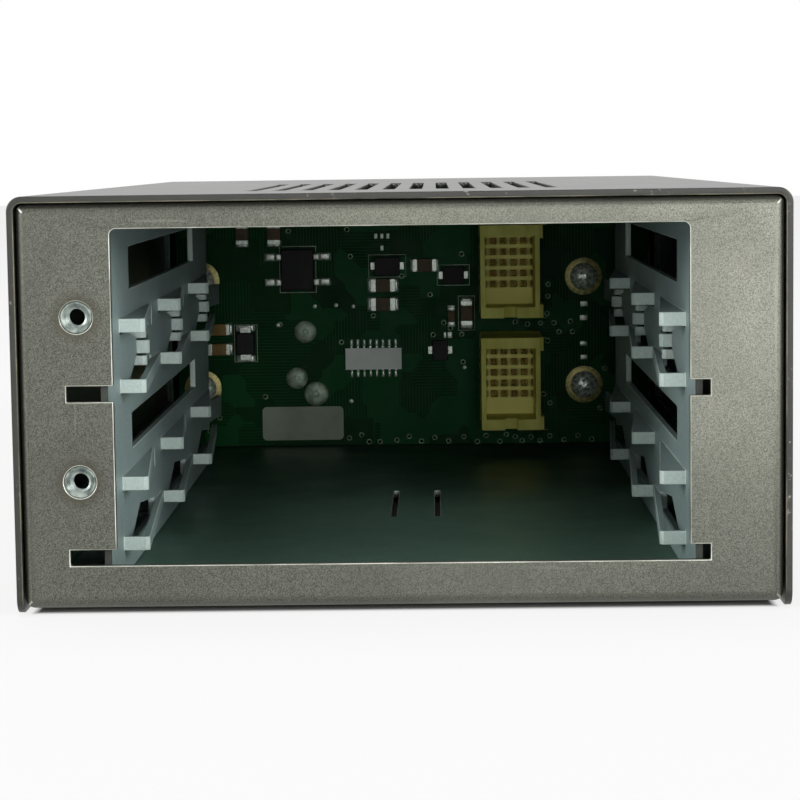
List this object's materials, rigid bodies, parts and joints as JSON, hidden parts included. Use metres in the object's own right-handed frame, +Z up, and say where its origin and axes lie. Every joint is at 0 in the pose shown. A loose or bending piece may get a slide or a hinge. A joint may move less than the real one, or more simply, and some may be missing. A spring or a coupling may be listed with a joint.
{
  "type": "media converter chassis",
  "caption": "Open-front sheet-metal chassis that guides, powers and cools plug-in media converter cards stacked one above the other.",
  "frame": {"origin": "middle of the footprint, on the surface that the cover's lower edges stand on", "axes": "+X to the right seen from the open front, +Y from the front panel to the rear panel, +Z up"},
  "size_m": [0.103, 0.1906, 0.0555],
  "materials": {
    "plated_sheet": "zinc plated, fine grain, dull",
    "cover_coat": "black, fine texture, satin",
    "screw_steel": "plated, bright",
    "guide_sheet": "zinc plated, satin",
    "rivet_metal": "satin",
    "nut_steel": "plated, satin",
    "board_green": "solder mask, gloss",
    "standoff_metal": "plated, satin",
    "connector_plastic": "moulded, matt",
    "contact_metal": "plated, dark",
    "black_plastic": "moulded, matt",
    "lead_metal": "tinned, bright",
    "label_white": "paper label, matt",
    "capacitor_tan": "ceramic, matt",
    "chip_brown": "ceramic, satin"
  },
  "bodies": {
    "root": {"base_pan": "plated_sheet", "cover": "cover_coat", "cover_screws": "screw_steel", "left_guide_frame": "guide_sheet", "right_guide_frame": "guide_sheet", "guide_frame_rivets": "rivet_metal", "faceplate_nuts": "nut_steel", "backplane_board": "board_green", "backplane_standoffs": "standoff_metal", "backplane_screws": "screw_steel", "upper_slot_connector": "connector_plastic", "lower_slot_connector": "connector_plastic", "upper_connector_contacts": "contact_metal", "lower_connector_contacts": "contact_metal", "dc_inlet_housing": "black_plastic", "dc_inlet_pin": "lead_metal", "dc_inlet_terminals": "lead_metal", "bridge_rectifier": "black_plastic", "bridge_rectifier_leads": "lead_metal", "protection_diode": "black_plastic", "protection_diode_ends": "lead_metal", "logic_ic": "black_plastic", "logic_ic_leads": "lead_metal", "logic_ic_label": "label_white", "board_label": "label_white", "input_capacitors": "capacitor_tan", "input_capacitor_ends": "lead_metal", "chip_parts": "chip_brown", "chip_part_ends": "lead_metal", "voltage_regulator": "black_plastic", "voltage_regulator_leads": "lead_metal"}
  },
  "joints": []
}
